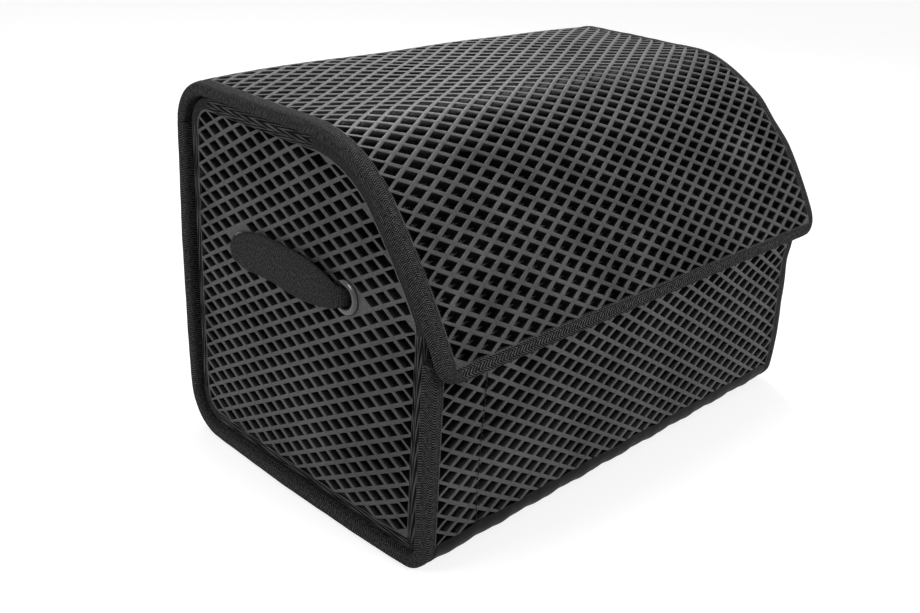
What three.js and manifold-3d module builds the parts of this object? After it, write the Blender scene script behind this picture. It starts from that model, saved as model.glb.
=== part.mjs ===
// Car trunk organizer: a foam box with diamond cells, a wrap-over lid, taped edges and strap handles.
// Millimetres, +Z up. X runs along the box, Y from its front wall to its back wall.

import * as THREE from 'three';
import { mergeGeometries, mergeVertices } from 'three/addons/utils/BufferGeometryUtils.js';
import Module from 'manifold-3d';

const wasm = await Module();
wasm.setup();

// Closed box, over its taped edges
const boxLength = 500;
const boxDepth = 310;
const boxHeight = 322;
const lidStandOff = 18.5;     // the lid's lower edge stands this far ahead of the front wall

// Folds of the box and the lid, as radii of the outer face and angles in degrees
const frontFold = 20;
const backFold = 40;
const lidRearFold = 38;
const lidFrontFold = 110;
const lidFrontTurn = 50;
const lidFlapRadius = 550;
const lidFlapTurn = 14;
const lidCorner = 14;

// Foam sheet and woven tape
const sheet = 10;
const tape = 1.2;
const gap = 0.3;              // between pieces that touch
const tapeLeg = 12;           // how far a folded tape reaches over a sheet
const sideTapeLeg = 14;
const tapeRound = 3;          // rounding of a taped edge
const endSetback = 6;         // the end walls lie this far inside the taped edges
const rimClearance = 1;       // front wall to the lid above it
const seamCover = 4;          // seam tape beyond the joint, up the front wall
const seamTuck = 10;          // seam tape beyond the fold, under the bottom
const hingeTapeReach = 20;
const hingeTapeMargin = 6;    // end of the hinge tape to the end walls

// Diamond cells
const cellLong = 68;
const cellShort = 40.3;
const cellRidge = 5;
const cellDepth = 6.5;
const cellFloor = 0.8;        // share of the mouth left at the bottom of a cell
const cellEdge = 2.5;         // ridge between the outermost cells and the tape
const cellKept = 0.3;         // share of a half cell that must lie in the field

// Handles, their eyelets and washers
const handleSpan = 128;       // between eyelet centres
const handleHeight = 196;
const handleBehindMiddle = 7.5;
const handleRise = 10;        // strap off the end wall, at its middle
const strapWidth = 38;
const strapThickness = 3;
const strapNeckThickness = 8; // bunched in the eyelet, which its width fills
const strapKnot = 22;         // stop at each end, inside the box
const strapKnotLength = 14;
const strapKnotEnd = 14;      // its end face
const strapArch = [           // shares of half the span, of the rise and of the spread, eyelet to middle
  [0.977, 0.62, 0.16],
  [0.906, 0.82, 0.8],
  [0.81, 0.88, 1],
  [0.55, 0.95, 1],
  [0, 1, 1],
];
const eyeletHole = 14;
const eyeletFlange = 28;
const eyeletBarrel = 17;
const eyeletRise = 3;
const eyeletRoll = 22;
const washerDiameter = 26;
const washerThickness = 1.2;

// Loop strip for a divider, inside the front wall
const dividerStripInset = 57; // its middle line to the left-hand end of the box
const dividerStripWidth = 20;
const dividerStripThickness = 2;
const dividerStripClear = 14; // from the strip to the folds and the rim tape

// Smoothness of the faceted shapes
const foldStep = 22.5;
const flapStep = 12.5;
const roundSteps = 2;
const ringSides = 12;
const strapSides = 10;
const creaseTolerance = 1e-4;
const mergeDistance = 1e-4;

const halfLength = boxLength / 2;
const halfDepth = boxDepth / 2;
const edgeRoom = tape + gap;             // a sheet's edge to the outside of its tape
const innerFace = sheet + edgeRoom;      // outer face of a sheet to the inside of its tape
const radians = THREE.MathUtils.degToRad;

// The outer face of the folded sheets as seen from the right-hand end: a line in Y and Z, with lengths
// measured along it from the lid's lower edge, up and back over the box, down and forward under it.
class Route {
  constructor(start, heading, stretches) {
    this.starts = [];
    this.marks = [];
    let at = start.clone();
    let angle = heading;
    let along = 0;
    for (const { straight, radius, turn, step } of stretches) {
      this.starts.push(along);
      const outward = this.outward(angle);
      this.marks.push({ along, at, outward });
      const length = straight ?? radius * turn;
      const count = straight ? 1 : Math.ceil(turn / radians(step) - creaseTolerance);
      const centre = straight ? null : at.clone().addScaledVector(outward, -radius);
      for (let i = 1; i <= count; i += 1) {
        const turned = this.outward(angle - (turn ?? 0) * i / count);
        const point = straight
          ? at.clone().add(new THREE.Vector2(Math.cos(angle), Math.sin(angle)).multiplyScalar(length))
          : centre.clone().addScaledVector(turned, radius);
        this.marks.push({ along: along + length * i / count, at: point, outward: turned });
      }
      at = this.marks.at(-1).at;
      angle -= turn ?? 0;
      along += length;
    }
  }

  outward(angle) {
    return new THREE.Vector2(-Math.sin(angle), Math.cos(angle));
  }

  // Point at a length along the route and a height over the outer face
  place(along, height) {
    const found = this.marks.findIndex((mark) => mark.along > along);
    const next = found < 0 ? this.marks.length - 1 : Math.max(1, found);
    const [a, b] = [this.marks[next - 1], this.marks[next]];
    const [low, high] = [a, b].map(({ at, outward }) => at.clone().addScaledVector(outward, height));
    return low.lerp(high, (along - a.along) / (b.along - a.along));
  }
}

const flapAngle = radians(lidFrontTurn + lidFlapTurn);
const lidReach = lidFrontFold * Math.sin(radians(lidFrontTurn))
  + lidFlapRadius * (Math.sin(flapAngle) - Math.sin(radians(lidFrontTurn)));
const lidStretches = [
  { radius: lidFlapRadius, turn: radians(lidFlapTurn), step: flapStep },
  { radius: lidFrontFold, turn: radians(lidFrontTurn), step: flapStep },
  { straight: boxDepth + lidStandOff - lidRearFold - lidReach },
  { radius: lidRearFold, turn: radians(90), step: foldStep },
];
const bodyStretches = [
  { straight: boxHeight - lidRearFold - backFold },
  { radius: backFold, turn: radians(90), step: foldStep },
  { straight: boxDepth - backFold - frontFold },
  { radius: frontFold, turn: radians(90), step: foldStep },
  { straight: boxHeight - frontFold },
];
const lidDrop = lidFrontFold * (1 - Math.cos(radians(lidFrontTurn)))
  + lidFlapRadius * (Math.cos(radians(lidFrontTurn)) - Math.cos(flapAngle));
const lidEdge = new THREE.Vector2(-halfDepth - lidStandOff, boxHeight - lidDrop);
const route = new Route(lidEdge, flapAngle, [...lidStretches, ...bodyStretches]);
const lidTopAt = route.starts[2];
const [hingeAt, , , frontFoldAt, jointAt] = route.starts.slice(lidStretches.length);

// Length along the lid where a line at this depth under its outer face crosses a given Y
function lidCrossing(y, depth) {
  let low = 0;
  let high = lidTopAt;
  for (let i = 0; i < 50; i += 1) {
    const middle = (low + high) / 2;
    if (route.place(middle, -depth).x < y) low = middle;
    else high = middle;
  }
  return low;
}

// The front wall rises until it meets the underside of the lid
const lidUnderside = innerFace + gap;
const rimHeight = route.place(lidCrossing(-halfDepth, lidUnderside), -lidUnderside).y - rimClearance;
const rimAt = jointAt + rimHeight - frontFold;

const foam = { color: 0x1d1e20, roughness: 0.62, metalness: 0 };
const woven = { color: 0x131315, roughness: 0.9, metalness: 0 };
const ringFinish = { color: 0x101011, roughness: 0.35, metalness: 0.3 };
const organizer = new THREE.Group();

function addPiece(name, geometry, finish) {
  const mesh = new THREE.Mesh(geometry, new THREE.MeshStandardMaterial(finish));
  mesh.name = name;
  organizer.add(mesh);
}

function bare(geometry) {
  const copy = geometry.clone();
  copy.deleteAttribute('normal');
  copy.deleteAttribute('uv');
  return mergeVertices(copy, mergeDistance);
}

function toSolid(geometry) {
  const { attributes, index } = bare(geometry);
  const vertProperties = new Float32Array(attributes.position.array);
  const triVerts = new Uint32Array(index.array);
  return new wasm.Manifold(new wasm.Mesh({ numProp: 3, vertProperties, triVerts }));
}

function toGeometry(solid) {
  const { vertProperties, triVerts } = solid.getMesh();
  const geometry = new THREE.BufferGeometry();
  geometry.setAttribute('position', new THREE.BufferAttribute(vertProperties, 3));
  geometry.setIndex(new THREE.BufferAttribute(triVerts, 1));
  return geometry;
}

// A flat plate of the given outline between two heights, its edges rounded if asked
function plate(outline, low, high, rounding = 0, steps = 1) {
  const geometry = new THREE.ExtrudeGeometry(outline, {
    depth: high - low - 2 * rounding,
    bevelEnabled: rounding > 0,
    bevelSize: rounding,
    bevelThickness: rounding,
    bevelOffset: -rounding,
    bevelSegments: steps,
    curveSegments: 90 / foldStep / 2,
  });
  return geometry.translate(0, 0, low + rounding);
}

// A rectangle in X and length along the sheet, with round corners at its near end if asked
function rectangle(x0, x1, from, to, corner = 0) {
  const outline = new THREE.Shape();
  outline.moveTo(x1, to);
  outline.lineTo(x0, to);
  if (corner > 0) {
    outline.absarc(x0 + corner, from + corner, corner, Math.PI, 1.5 * Math.PI);
    outline.absarc(x1 - corner, from + corner, corner, 1.5 * Math.PI, 2 * Math.PI);
  } else {
    outline.lineTo(x0, from);
    outline.lineTo(x1, from);
  }
  return outline;
}

// Cuts every triangle along the creases it crosses, so that the sheet can bend there
function crease(geometry) {
  const { attributes: { position }, index } = bare(geometry);
  const points = [];
  for (let i = 0; i < index.count; i += 3) {
    const corners = [0, 1, 2]
      .map((k) => new THREE.Vector3().fromBufferAttribute(position, index.getX(i + k)));
    const [low, high] = [Math.min, Math.max].map((pick) => pick(...corners.map(({ y }) => y)));
    const cuts = route.marks.map(({ along }) => along)
      .filter((at, k, all) => at > low + creaseTolerance && at < high - creaseTolerance && at !== all[k - 1]);
    [low, ...cuts].forEach((from, k) => {
      const above = k > 0 ? keepSide(corners, from, 1) : corners;
      const strip = k < cuts.length ? keepSide(above, cuts[k], -1) : above;
      points.push(...strip.slice(2).flatMap((corner, j) => [strip[0], strip[j + 1], corner]));
    });
  }
  return new THREE.BufferGeometry().setFromPoints(points);
}

// Part of a polygon on one side of a crease
function keepSide(corners, at, side) {
  const kept = [];
  corners.forEach((a, i) => {
    const b = corners[(i + 1) % corners.length];
    const [aSide, bSide] = [side * (a.y - at), side * (b.y - at)];
    if (aSide >= -creaseTolerance) kept.push(a);
    if (Math.min(aSide, bSide) < -creaseTolerance && Math.max(aSide, bSide) > creaseTolerance) {
      const [low, high] = a.y < b.y ? [a, b] : [b, a];
      kept.push(low.clone().lerp(high, (at - low.y) / (high.y - low.y)));
    }
  });
  return kept;
}

// Lays a flat shape (X, length along the route, height) on the route, corner by corner
function follow(geometry) {
  const laid = bare(geometry);
  const { position } = laid.attributes;
  for (let i = 0; i < position.count; i += 1) {
    const at = route.place(position.getY(i), position.getZ(i));
    position.setXYZ(i, position.getX(i), at.x, at.y);
  }
  return mergeVertices(laid, mergeDistance);
}

const fold = (geometry) => follow(crease(geometry));

function mirrored(geometry) {
  const copy = geometry.clone();
  const { array } = copy.attributes.position;
  for (let i = 0; i < array.length; i += 3) array[i] = -array[i];
  const order = copy.index.array;
  for (let i = 0; i < order.length; i += 3) [order[i], order[i + 1]] = [order[i + 1], order[i]];
  return copy;
}

function isInside(points, u, v) {
  let inside = false;
  points.forEach((a, i) => {
    const b = points[(i + 1) % points.length];
    if ((a.y > v) !== (b.y > v) && u < a.x + (b.x - a.x) * (v - a.y) / (b.y - a.y)) inside = !inside;
  });
  return inside;
}

// Tapered diamond cells, on a lattice about the middle of a field and cut off at its edge
function cells(field, lay, layCell, skips = () => false) {
  const points = field.getPoints(1);
  const bounds = new THREE.Box2().setFromPoints(points);
  const middle = bounds.getCenter(new THREE.Vector2());
  const size = bounds.getSize(new THREE.Vector2());
  const halves = [cellLong / 2, cellShort / 2];
  const reach = halves[0] * halves[1] / Math.hypot(...halves);
  const [mouthLong, mouthShort] = halves.map((half) => half * (1 - cellRidge / 2 / reach));
  const mouth = cellRidge / 2;  // a cutter stands this far out of the face, also where it bridges a fold
  const mouthGrowth = 1 + (1 - cellFloor) * mouth / cellDepth;
  const tips = [[cellKept, 0], [-cellKept, 0], [0, cellKept], [0, -cellKept]];
  const cutters = [];
  const columns = Math.ceil(size.x / cellLong);
  const rows = Math.ceil(size.y / cellShort);
  for (let i = -columns; i <= columns; i += 1) {
    for (let j = -rows; j <= rows; j += 1) {
      const u = middle.x + i * halves[0];
      const v = middle.y + j * halves[1];
      const enters = tips.some(([du, dv]) => isInside(points, u + du * halves[0], v + dv * halves[1]));
      if ((i + j) % 2 !== 0 || !enters || skips(u, v)) continue;
      const cutter = new THREE.CylinderGeometry(mouthGrowth, cellFloor, cellDepth + mouth, 4);
      cutter.rotateX(Math.PI / 2).scale(mouthLong, mouthShort, 1);
      cutters.push(layCell(cutter.translate(u, v, (mouth - cellDepth) / 2)));
    }
  }
  return toSolid(mergeGeometries(cutters)).intersect(toSolid(lay(plate(field, -sheet, sheet))));
}

// A sheet of foam: a thinner margin all round for the tape, and a full field
function foamSheet(margin, field, lay) {
  const body = toSolid(lay(plate(margin, -sheet, -edgeRoom, tapeRound - tape)));
  return body.add(toSolid(lay(plate(field, -sheet / 2, 0))));
}

// Tape folded over the edge of an outline: its two legs and the edge between them
function foldedTape(outside, inside, opening, lay) {
  const over = toSolid(lay(plate(outside, -innerFace, 0, tapeRound, roundSteps)));
  const room = toSolid(lay(plate(inside, -sheet - gap, -tape, tapeRound - tape)));
  const between = toSolid(lay(plate(opening, -2 * sheet, sheet)));
  return toGeometry(over.subtract(room).subtract(between));
}

// The lid
const lidField = rectangle(
  -halfLength + tapeLeg + gap, halfLength - tapeLeg - gap, tapeLeg + gap, hingeAt - tapeLeg - gap);
const lidMargin = rectangle(
  -halfLength + edgeRoom, halfLength - edgeRoom, edgeRoom, hingeAt - edgeRoom, lidCorner - edgeRoom);
const lidEdges = rectangle(-halfLength, halfLength, 0, hingeAt - gap / 2, lidCorner);
const lidRoom = rectangle(
  -halfLength + tape, halfLength - tape, tape, hingeAt - tape - gap / 2, lidCorner - tape);
const lidOpening = rectangle(-halfLength + tapeLeg, halfLength - tapeLeg, tapeLeg, hingeAt - tapeLeg);
const lidCellsInset = tapeLeg + cellEdge;
const lidCells = rectangle(
  -halfLength + lidCellsInset, halfLength - lidCellsInset, lidCellsInset, hingeAt - lidCellsInset);
const lidSheet = foamSheet(lidMargin, lidField, fold).subtract(cells(lidCells, fold, follow));
addPiece('lid_sheet', toGeometry(lidSheet), foam);
addPiece('lid_binding', foldedTape(lidEdges, lidRoom, lidOpening, fold), woven);

// Bottom and back wall, one folded sheet, and the front wall
const fieldHalf = halfLength - sideTapeLeg - gap;
const marginHalf = halfLength - edgeRoom;
const seamFrom = frontFoldAt - seamTuck;
const seamTo = jointAt + seamCover;
const backTop = hingeAt + gap / 2;
const baseMargin = rectangle(-marginHalf, marginHalf, backTop + edgeRoom, jointAt - gap / 2);
const baseField = rectangle(-fieldHalf, fieldHalf, backTop + tapeLeg + gap, seamFrom - gap);
const cellsHalf = halfLength - sideTapeLeg - cellEdge;
const baseCells = rectangle(-cellsHalf, cellsHalf, backTop + tapeLeg + cellEdge, seamFrom - cellEdge);
const baseSheet = foamSheet(baseMargin, baseField, fold).subtract(cells(baseCells, fold, follow));
addPiece('base_wrap', toGeometry(baseSheet), foam);

const frontMargin = rectangle(-marginHalf, marginHalf, jointAt + gap / 2, rimAt - edgeRoom);
const frontField = rectangle(-fieldHalf, fieldHalf, seamTo + gap, rimAt - tapeLeg - gap);
const frontCells = rectangle(-cellsHalf, cellsHalf, seamTo + cellEdge, rimAt - tapeLeg - cellEdge);
const frontSheet = foamSheet(frontMargin, frontField, fold).subtract(cells(frontCells, fold, follow));
addPiece('front_panel', toGeometry(frontSheet), foam);

// Tapes across the box: over the two rims, over the front joint and inside the hinge
const beyond = 3 * tapeLeg;   // cutters run this far past the edge that they cut
function rimTape(edge, inward) {
  const span = (from, to) => [edge + inward * from, edge + inward * to].sort((a, b) => a - b);
  const outside = rectangle(-fieldHalf, fieldHalf, ...span(0, 2 * tapeLeg));
  const inside = rectangle(-boxLength, boxLength, ...span(tape, beyond));
  const opening = rectangle(-boxLength, boxLength, ...span(tapeLeg, beyond));
  return foldedTape(outside, inside, opening, fold);
}
addPiece('front_rim_binding', rimTape(rimAt, -1), woven);
addPiece('back_rim_binding', rimTape(backTop, 1), woven);
addPiece('front_seam_tape', fold(plate(rectangle(-fieldHalf, fieldHalf, seamFrom, seamTo), -tape, 0)), woven);
const hingeTapeHalf = halfLength - endSetback - innerFace - gap - hingeTapeMargin;
const hingeTapeOutline = rectangle(
  -hingeTapeHalf, hingeTapeHalf, hingeAt - hingeTapeReach, hingeAt + hingeTapeReach);
addPiece('hinge_tape', fold(plate(hingeTapeOutline, -lidUnderside - tape, -lidUnderside)), woven);

// Tape down both sides of the body, from the front rim to the hinge
const sideOutside = rectangle(0, halfLength, backTop, rimAt);
const sideInside = rectangle(-halfLength, halfLength - tape, hingeAt - beyond, rimAt + beyond);
const sideOpening = rectangle(-halfLength, halfLength - sideTapeLeg, hingeAt - beyond, rimAt + beyond);
const sideTape = foldedTape(sideOutside, sideInside, sideOpening, fold);
addPiece('right_body_binding', sideTape, woven);
addPiece('left_body_binding', mirrored(sideTape), woven);

// Outline of an end wall, at a distance inside the outer face of the folded sheets
function endOutline(inset) {
  const [front, back, floor, top] = [inset - halfDepth, halfDepth - inset, inset, boxHeight - inset];
  const corner = (radius) => Math.max(radius - inset, tapeRound);
  const [frontRadius, backRadius, topRadius] = [corner(frontFold), corner(backFold), corner(lidRearFold)];
  const outline = new THREE.Shape();
  outline.absarc(front + frontRadius, floor + frontRadius, frontRadius, Math.PI, 1.5 * Math.PI);
  outline.absarc(back - backRadius, floor + backRadius, backRadius, 1.5 * Math.PI, 2 * Math.PI);
  outline.absarc(back - topRadius, top - topRadius, topRadius, 0, Math.PI / 2);
  const crossing = lidCrossing(front, inset);
  const bends = route.marks.map(({ along }) => along).filter((at) => at > crossing + gap && at <= lidTopAt);
  for (const at of [crossing, ...new Set(bends)].sort((a, b) => b - a)) {
    const { x, y } = route.place(at, -inset);
    outline.lineTo(x, y);
  }
  return outline;
}

// End walls are drawn in Y and Z, with heights along X
const standing = new THREE.Matrix4().makeBasis(
  new THREE.Vector3(0, 1, 0), new THREE.Vector3(0, 0, 1), new THREE.Vector3(1, 0, 0));
const endFace = halfLength - endSetback;
const standUp = (geometry) => geometry.applyMatrix4(standing).translate(endFace, 0, 0);

const endTapeInset = innerFace + gap;
const endMarginInset = endTapeInset + edgeRoom;
const endFieldInset = endTapeInset + tapeLeg + gap;
const endHoles = [-1, 1].map((side) => handleBehindMiddle + side * handleSpan / 2);
const boreRadius = eyeletBarrel / 2 + gap;
const bores = endHoles.map((y) => {
  const bore = new THREE.CylinderGeometry(boreRadius, boreRadius, 4 * sheet, ringSides);
  return bore.rotateX(Math.PI / 2).translate(y, handleHeight, 0);
});
const nearHole = (y, z) => endHoles.some((hole) => (
  Math.hypot(hole - y, handleHeight - z) < eyeletFlange / 2 + cellShort / 2));
const endSheet = foamSheet(endOutline(endMarginInset), endOutline(endFieldInset), standUp)
  .subtract(cells(endOutline(endTapeInset + tapeLeg + cellEdge), standUp, standUp, nearHole))
  .subtract(toSolid(standUp(mergeGeometries(bores))));
const endTapeOutlines = [0, tape, tapeLeg].map((depth) => endOutline(endTapeInset + depth));
const endTape = foldedTape(...endTapeOutlines, standUp);

// Eyelet: a domed flange outside, a barrel through the wall and a rolled lip over its washer inside
function ring(profile) {
  const points = profile.map(([radius, height]) => new THREE.Vector2(radius, height));
  return new THREE.LatheGeometry([...points, points[0]], ringSides).rotateX(Math.PI / 2);
}
const [hole, barrel, flange, roll] = [eyeletHole, eyeletBarrel, eyeletFlange, eyeletRoll].map((d) => d / 2);
const lipAt = -sheet - washerThickness - 2 * gap;
const eyeletRing = ring([
  [hole, lipAt - washerThickness],
  [roll, lipAt - washerThickness],
  [roll, lipAt],
  [barrel, lipAt],
  [barrel, gap],
  [flange, gap],
  [flange, gap + eyeletRise / 3],
  [(flange + barrel) / 2, gap + eyeletRise],
  [barrel, gap + eyeletRise],
  [hole, gap + eyeletRise / 3],
]);
const washerRing = ring([
  [barrel + gap, -sheet - gap - washerThickness],
  [washerDiameter / 2, -sheet - gap - washerThickness],
  [washerDiameter / 2, -sheet - gap],
  [barrel + gap, -sheet - gap],
]);

// Strap: a flat band outside, bunched in both eyelets, with a knotted stop behind each. Its rows are
// listed from the end of a knot to the middle: share of half the span, height off the wall, width, depth.
const knotAt = lipAt - washerThickness - gap;
const strapRise = handleRise - strapThickness / 2;
const strapNeck = eyeletHole * Math.cos(Math.PI / ringSides) - 2 * gap;
const strapRows = [
  [1, knotAt - strapKnotLength, strapKnotEnd, strapKnotEnd],
  [1, knotAt - strapKnotLength / 2, strapKnot, strapKnot],
  [1, knotAt, strapNeck, strapNeckThickness],
  [1, eyeletRise / 2, strapNeck, strapNeckThickness],
  ...strapArch.map(([share, rise, spread]) => [
    share,
    strapRise * rise,
    THREE.MathUtils.lerp(strapNeck, strapWidth, spread),
    THREE.MathUtils.lerp(strapNeckThickness, strapThickness, spread),
  ]),
];

function strap() {
  const otherHalf = strapRows.slice(0, -1).reverse().map(([share, ...rest]) => [-share, ...rest]);
  const rows = [...strapRows, ...otherHalf];
  const centres = rows.map(([share, height]) => new THREE.Vector3(height, share * handleSpan / 2, 0));
  const geometry = bare(new THREE.CylinderGeometry(1, 1, rows.length - 1, strapSides, rows.length - 1));
  const { position } = geometry.attributes;
  for (let i = 0; i < position.count; i += 1) {
    const row = Math.round(position.getY(i) + (rows.length - 1) / 2);
    const [, , width, thickness] = rows[row];
    const before = centres[Math.max(row - 1, 0)];
    const after = centres[Math.min(row + 1, rows.length - 1)];
    const tangent = after.clone().sub(before).normalize();
    const across = new THREE.Vector3(tangent.y, -tangent.x, 0);
    const point = centres[row].clone().addScaledVector(across, position.getX(i) * thickness / 2);
    position.setXYZ(i, point.x, point.y, position.getZ(i) * width / 2);
  }
  return geometry.translate(endFace, handleBehindMiddle, handleHeight);
}

for (const [side, turned] of [['right', (geometry) => geometry], ['left', mirrored]]) {
  addPiece(`${side}_end_panel`, turned(toGeometry(endSheet)), foam);
  addPiece(`${side}_end_binding`, turned(endTape), woven);
  endHoles.forEach((y, i) => {
    const place = `${side}_${['front', 'rear'][i]}`;
    const seat = (geometry) => turned(standUp(bare(geometry.clone().translate(y, handleHeight, 0))));
    addPiece(`${place}_eyelet`, seat(eyeletRing), ringFinish);
    addPiece(`${place}_washer`, seat(washerRing), ringFinish);
  });
  addPiece(`${side}_handle`, turned(strap()), woven);
}

// Loop strip sewn inside the front wall, where a divider would be held
const stripMiddle = -halfLength + dividerStripInset;
const stripX = [stripMiddle - dividerStripWidth / 2, stripMiddle + dividerStripWidth / 2];
const stripOutline = rectangle(...stripX, jointAt + dividerStripClear, rimAt - tapeLeg - dividerStripClear);
const stripPlate = plate(stripOutline, -sheet - gap - dividerStripThickness, -sheet - gap);
addPiece('divider_loop_strip', fold(stripPlate), woven);

// The origin lies under the middle of the closed box, lid included
organizer.position.y = -new THREE.Box3().setFromObject(organizer).getCenter(new THREE.Vector3()).y;

export default organizer;
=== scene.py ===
import bpy
import bmesh
from math import atan2, ceil, cos, degrees, exp, hypot, pi, radians, sin, tau
from mathutils import Matrix, Quaternion, Vector


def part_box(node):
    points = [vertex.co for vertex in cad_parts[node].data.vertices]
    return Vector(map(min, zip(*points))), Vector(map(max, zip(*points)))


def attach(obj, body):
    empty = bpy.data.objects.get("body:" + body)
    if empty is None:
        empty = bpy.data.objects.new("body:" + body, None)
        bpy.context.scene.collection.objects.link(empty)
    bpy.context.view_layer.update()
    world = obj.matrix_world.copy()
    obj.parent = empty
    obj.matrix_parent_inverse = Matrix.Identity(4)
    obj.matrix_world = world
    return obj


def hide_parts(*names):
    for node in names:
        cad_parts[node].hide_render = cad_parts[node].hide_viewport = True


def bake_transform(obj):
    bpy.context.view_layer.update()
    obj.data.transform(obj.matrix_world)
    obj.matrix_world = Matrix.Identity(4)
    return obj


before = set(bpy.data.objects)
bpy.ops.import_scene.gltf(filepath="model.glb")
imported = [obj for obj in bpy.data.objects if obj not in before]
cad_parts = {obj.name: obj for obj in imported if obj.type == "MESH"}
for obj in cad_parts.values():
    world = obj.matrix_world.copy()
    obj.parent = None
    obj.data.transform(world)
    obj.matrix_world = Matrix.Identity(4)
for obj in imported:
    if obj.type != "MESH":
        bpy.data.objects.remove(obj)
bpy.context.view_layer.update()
mm = 0.001

# Outer faces of the closed box, read from the solids, and the folds of its sheets
box = {
    "side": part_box("lid_binding")[1][0],
    "front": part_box("front_seam_tape")[0][1],
    "back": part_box("base_wrap")[1][1],
    "top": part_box("lid_sheet")[1][2],
    "rim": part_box("front_rim_binding")[1][2],
    "lidStandOff": 18.5 * mm,
    "frontFold": 20 * mm,
    "backFold": 40 * mm,
    "lidRearFold": 38 * mm,
    "lidFrontFold": 110 * mm,
    "lidFrontTurn": radians(50),
    "flapRadius": 550 * mm,
    "flapTurn": radians(14),
    "sheet": 10 * mm,
    "edge": 11.5 * mm,         # a sheet's edge with its tape
    "leg": 12 * mm,            # tape over the face of a sheet
    "sideLeg": 14 * mm,
    "gap": 0.3 * mm,
    "endSetback": 6 * mm,
}


# The outer face of the folded sheets seen from the right: up the lid, back over the top, down the back
# wall, forward under the bottom and up the front wall
def makeRoute():
    turnA = box["lidFrontTurn"]
    turnB = turnA + box["flapTurn"]
    reach = box["lidFrontFold"] * sin(turnA) + box["flapRadius"] * (sin(turnB) - sin(turnA))
    drop = box["lidFrontFold"] * (1 - cos(turnA)) + box["flapRadius"] * (cos(turnA) - cos(turnB))
    depth = box["back"] - box["front"]
    stretches = [
        (box["flapRadius"], box["flapTurn"]),
        (box["lidFrontFold"], turnA),
        (0, depth + box["lidStandOff"] - box["lidRearFold"] - reach),
        (box["lidRearFold"], pi / 2),
        (0, box["top"] - box["lidRearFold"] - box["backFold"]),
        (box["backFold"], pi / 2),
        (0, depth - box["backFold"] - box["frontFold"]),
        (box["frontFold"], pi / 2),
        (0, box["top"]),
    ]
    at = Vector((box["front"] - box["lidStandOff"], box["top"] - drop))
    angle = turnB
    along = 0
    made = []
    for radius, size in stretches:
        made.append({"from": along, "at": at.copy(), "angle": angle, "radius": radius})
        if radius:
            centre = at - radius * Vector((-sin(angle), cos(angle)))
            angle -= size
            at = centre + radius * Vector((-sin(angle), cos(angle)))
            along += radius * size
        else:
            at = at + size * Vector((cos(angle), sin(angle)))
            along += size
    return made


route = makeRoute()
lidTopAt = route[2]["from"]
hingeAt = route[4]["from"]
frontFoldAt = route[7]["from"]
jointAt = route[8]["from"]
rimAt = jointAt + box["rim"] - box["frontFold"]


def onRoute(x, along, height):
    part = route[0]
    for candidate in route:
        if along >= candidate["from"]:
            part = candidate
    angle = part["angle"]
    step = along - part["from"]
    if part["radius"]:
        out = Vector((-sin(angle), cos(angle)))
        turned = angle - step / part["radius"]
        newOut = Vector((-sin(turned), cos(turned)))
        point = part["at"] - part["radius"] * out + (part["radius"] + height) * newOut
    else:
        point = part["at"] + step * Vector((cos(angle), sin(angle)))
        point += height * Vector((-sin(angle), cos(angle)))
    return Vector((x, point.x, point.y))


# The lid isn't quite true: it is puffed up along its rear fold and at one back corner
lidShape = {"crown": 3.2 * mm, "crownAt": 55 * mm, "crownReach": 70 * mm, "hump": 2.5 * mm, "humpX": 0.17,
            "humpAt": 95 * mm, "humpReach": 50 * mm, "wave": 0.7 * mm}


def onLid(x, along, height):
    share = x / box["side"]
    across = 1 - share ** 2
    fromHinge = hingeAt - along
    crown = lidShape["crown"] * (1 - share ** 8) * (1 - (0.5 + share / 2) ** 4)
    crown *= exp(-((fromHinge - lidShape["crownAt"]) / lidShape["crownReach"]) ** 2)
    humpFar = hypot(x - lidShape["humpX"], fromHinge - lidShape["humpAt"]) / lidShape["humpReach"]
    hump = lidShape["hump"] * across * exp(-humpFar ** 2)
    wave = lidShape["wave"] * across * sin(31 * x + 17 * along) * sin(23 * along)
    start = min(max(fromHinge / (20 * mm), 0), 1)
    return onRoute(x, along, height + (hump + wave + crown) * start)


# The soft walls have settled: the ends belly out at the foot and the back, and the far end leans.
# Each lean is an angle in degrees, up from the front round the centre, and the move there in mm.
settling = {"foot": 4.5 * mm, "footHeight": 0.11, "back": 2.8 * mm, "backReach": 0.07,
            "centre": (0.0, 0.12), "slide": 3 * mm,
            "leans": [(-180, 0), (-40, 0), (-25, 2.2), (-8, 0), (6, -2), (14, 0), (24, 4), (45, 4), (58, 0),
                      (72, -3.2), (90, 0), (180, 0)]}


def smoothStep(low, high, value):
    t = min(max((value - low) / (high - low), 0), 1)
    return t * t * (3 - 2 * t)


def settle(point):
    x, y, z = point
    share = min(abs(x) / box["side"], 1)
    middle = (box["front"] + box["back"]) / 2
    belly = max(1 - ((y - middle) / (box["back"] - middle)) ** 2, 0)
    foot = settling["foot"] * belly * exp(-(z / settling["footHeight"]) ** 2)
    rise = min(max(z / box["top"], 0), 1)
    back = settling["back"] * exp(-((box["back"] - y) / settling["backReach"]) ** 2) * sin(pi * rise)
    out = (foot + back) * share ** 3 * (1 if x > 0 else -1)
    fromY, fromZ = y - settling["centre"][0], z - settling["centre"][1]
    angle = degrees(atan2(fromZ, -fromY))
    far = min(max(x / box["side"] / 2 + 0.5, 0), 1) ** 2
    lean = 0
    for (a, low), (b, high) in zip(settling["leans"], settling["leans"][1:]):
        if a <= angle <= b:
            lean = low + (high - low) * smoothStep(a, b, angle)
    lean *= far * mm * smoothStep(0.02, 0.09, hypot(fromY, fromZ))
    slide = settling["slide"] * far * smoothStep(14, 26, angle) * (1 - smoothStep(45, 70, angle))
    return Vector((x + out + slide, y - lean * cos(radians(angle)), z + lean * sin(radians(angle))))


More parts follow.
